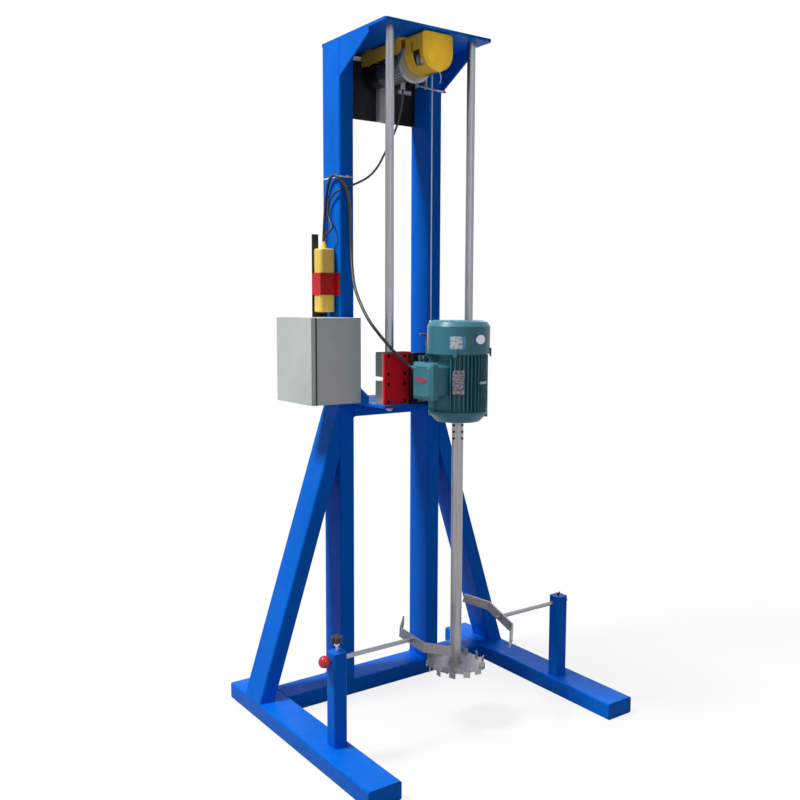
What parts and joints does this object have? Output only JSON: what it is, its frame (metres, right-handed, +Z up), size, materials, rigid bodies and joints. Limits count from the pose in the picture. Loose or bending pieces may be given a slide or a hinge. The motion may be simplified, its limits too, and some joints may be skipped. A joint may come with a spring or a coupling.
{
  "type": "tank agitator",
  "caption": "Gantry tank agitator: a hoist lifts a motor carriage on two guide rods, its shaft turning a saw-tooth disc, with drum clamps on the floor rails.",
  "frame": {"origin": "floor level, under the middle of the frame's outline", "axes": "+X to the right seen from the front, +Y from the open front to the columns at the back, +Z up"},
  "size_m": [1.15, 0.95, 2.424],
  "materials": {
    "frame_blue": "gloss",
    "ground_steel": "satin",
    "box_grey": "satin",
    "gear_plastic": "matte",
    "gland_black": "matte",
    "clamp_red": "gloss",
    "pendant_yellow": "gloss",
    "button_white": "gloss",
    "button_black": "gloss",
    "hoist_yellow": "gloss",
    "alloy": "cast",
    "black_plastic": "matte",
    "rope_steel": "stranded",
    "hook_paint": "gloss",
    "cable_black": "matte",
    "tie_white": "matte",
    "ball_red": "gloss",
    "zinc_steel": "zinc plated",
    "block_alloy": "milled",
    "plate_dark": "satin",
    "screw_black": "black oxide",
    "bush_dark": "matte",
    "motor_teal": "gloss",
    "core_steel": "plain",
    "fan_plastic": "matte",
    "bright_steel": "polished",
    "panel_dark": "satin"
  },
  "bodies": {
    "root": {"left_rail": "frame_blue", "right_rail": "frame_blue", "rail_end_caps": "frame_blue", "cross_beam": "frame_blue", "left_column": "frame_blue", "right_column": "frame_blue", "left_brace": "frame_blue", "right_brace": "frame_blue", "mid_crossbar": "frame_blue", "shelf_plate": "frame_blue", "gusset_plates": "frame_blue", "top_plate": "frame_blue", "guide_rods": "ground_steel", "rear_panel": "panel_dark", "clamp_posts": "frame_blue", "control_box": "box_grey", "switchgear": "gear_plastic", "box_glands": "gland_black", "pendant_holder": "clamp_red", "pendant_body": "pendant_yellow", "hoist_frame": "hoist_yellow", "hoist_housing": "hoist_yellow", "hoist_motor": "alloy", "hoist_fan_cover": "black_plastic", "wire_rope": "rope_steel", "motor_cable": "cable_black", "pendant_cable": "cable_black", "cable_ties": "tie_white"},
    "door": {"box_door": "box_grey"},
    "up_key": {"up_button": "button_white"},
    "down_key": {"down_button": "button_black"},
    "lever": {"limit_lever": "zinc_steel"},
    "drum": {"hoist_drum": "zinc_steel"},
    "left_clamp": {"left_clamp_rod": "ground_steel", "left_ball_knob": "ball_red"},
    "left_grip": {"left_jaw": "zinc_steel"},
    "right_clamp": {"right_clamp_rod": "ground_steel"},
    "right_grip": {"right_jaw": "zinc_steel"},
    "left_lock": {"left_lock_knob": "black_plastic"},
    "right_lock": {"right_lock_screw": "screw_black"},
    "carriage": {"carriage_plate": "plate_dark", "bearing_blocks": "block_alloy", "face_plates": "clamp_red", "face_screws": "screw_black", "guide_bushes": "bush_dark", "lifting_eye": "plate_dark", "rope_hook": "hook_paint", "motor_housing": "motor_teal", "motor_stator": "core_steel", "end_shields": "motor_teal", "fan_cowl": "motor_teal", "terminal_box": "motor_teal", "terminal_lid": "motor_teal", "motor_bolts": "zinc_steel"},
    "agitator": {"motor_shaft": "bright_steel", "cooling_fan": "fan_plastic", "shaft_coupling": "bright_steel", "set_screws": "screw_black", "agitator_shaft": "bright_steel", "sawtooth_disc": "bright_steel"}
  },
  "joints": [
    {"name": "carriage_lift", "type": "slide", "parent": "root", "child": "carriage", "axis": [0, 0, 1], "range_m": [0, 0.75], "deforming": ["wire_rope", "motor_cable"]},
    {"name": "agitator_spin", "type": "hinge", "parent": "carriage", "child": "agitator", "pos_m": [0, -0.163, 1.2], "axis": [0, 0, 1], "continuous": true},
    {"name": "hoist_drum_turn", "type": "hinge", "parent": "root", "child": "drum", "pos_m": [-0.026, 0, 2.326], "axis": [0, 1, 0], "range_deg": [-1525, 0]},
    {"name": "left_clamp_slide", "type": "slide", "parent": "root", "child": "left_clamp", "axis": [-1, 0, 0], "range_m": [0, 0.25]},
    {"name": "right_clamp_slide", "type": "slide", "parent": "root", "child": "right_clamp", "axis": [1, 0, 0], "range_m": [-0.015, 0.25]},
    {"name": "left_jaw_swivel", "type": "hinge", "parent": "left_clamp", "child": "left_grip", "pos_m": [-0.2, -0.172, 0.35], "axis": [1, 0, 0], "range_deg": [-45, 45]},
    {"name": "right_jaw_swivel", "type": "hinge", "parent": "right_clamp", "child": "right_grip", "pos_m": [0.2, -0.172, 0.35], "axis": [1, 0, 0], "range_deg": [-45, 45]},
    {"name": "left_lock_turn", "type": "hinge", "parent": "root", "child": "left_lock", "pos_m": [-0.498, -0.172, 0.4], "axis": [0, 0, 1], "range_deg": [0, 360]},
    {"name": "right_lock_turn", "type": "hinge", "parent": "root", "child": "right_lock", "pos_m": [0.498, -0.172, 0.39], "axis": [0, 0, 1], "range_deg": [0, 360]},
    {"name": "box_door_swing", "type": "hinge", "parent": "root", "child": "door", "pos_m": [-0.4095, 0.351, 1.29], "axis": [0, 0, -1], "range_deg": [0, 110]},
    {"name": "up_button_press", "type": "slide", "parent": "root", "child": "up_key", "axis": [0, -1, 0], "range_m": [0, 0.004], "stiffness_N_per_m": 600},
    {"name": "down_button_press", "type": "slide", "parent": "root", "child": "down_key", "axis": [0, -1, 0], "range_m": [0, 0.004], "stiffness_N_per_m": 600},
    {"name": "limit_lever_lift", "type": "hinge", "parent": "root", "child": "lever", "pos_m": [0.0023, 0.063, 2.253], "axis": [-1, 0, 0], "range_deg": [-10, 15], "stiffness_Nm_per_rad": 1, "springref_deg": 1.89}
  ],
  "couplings": [
    {"joint": "hoist_drum_turn", "follows": "carriage_lift", "rad_per_m": -35.336}
  ]
}
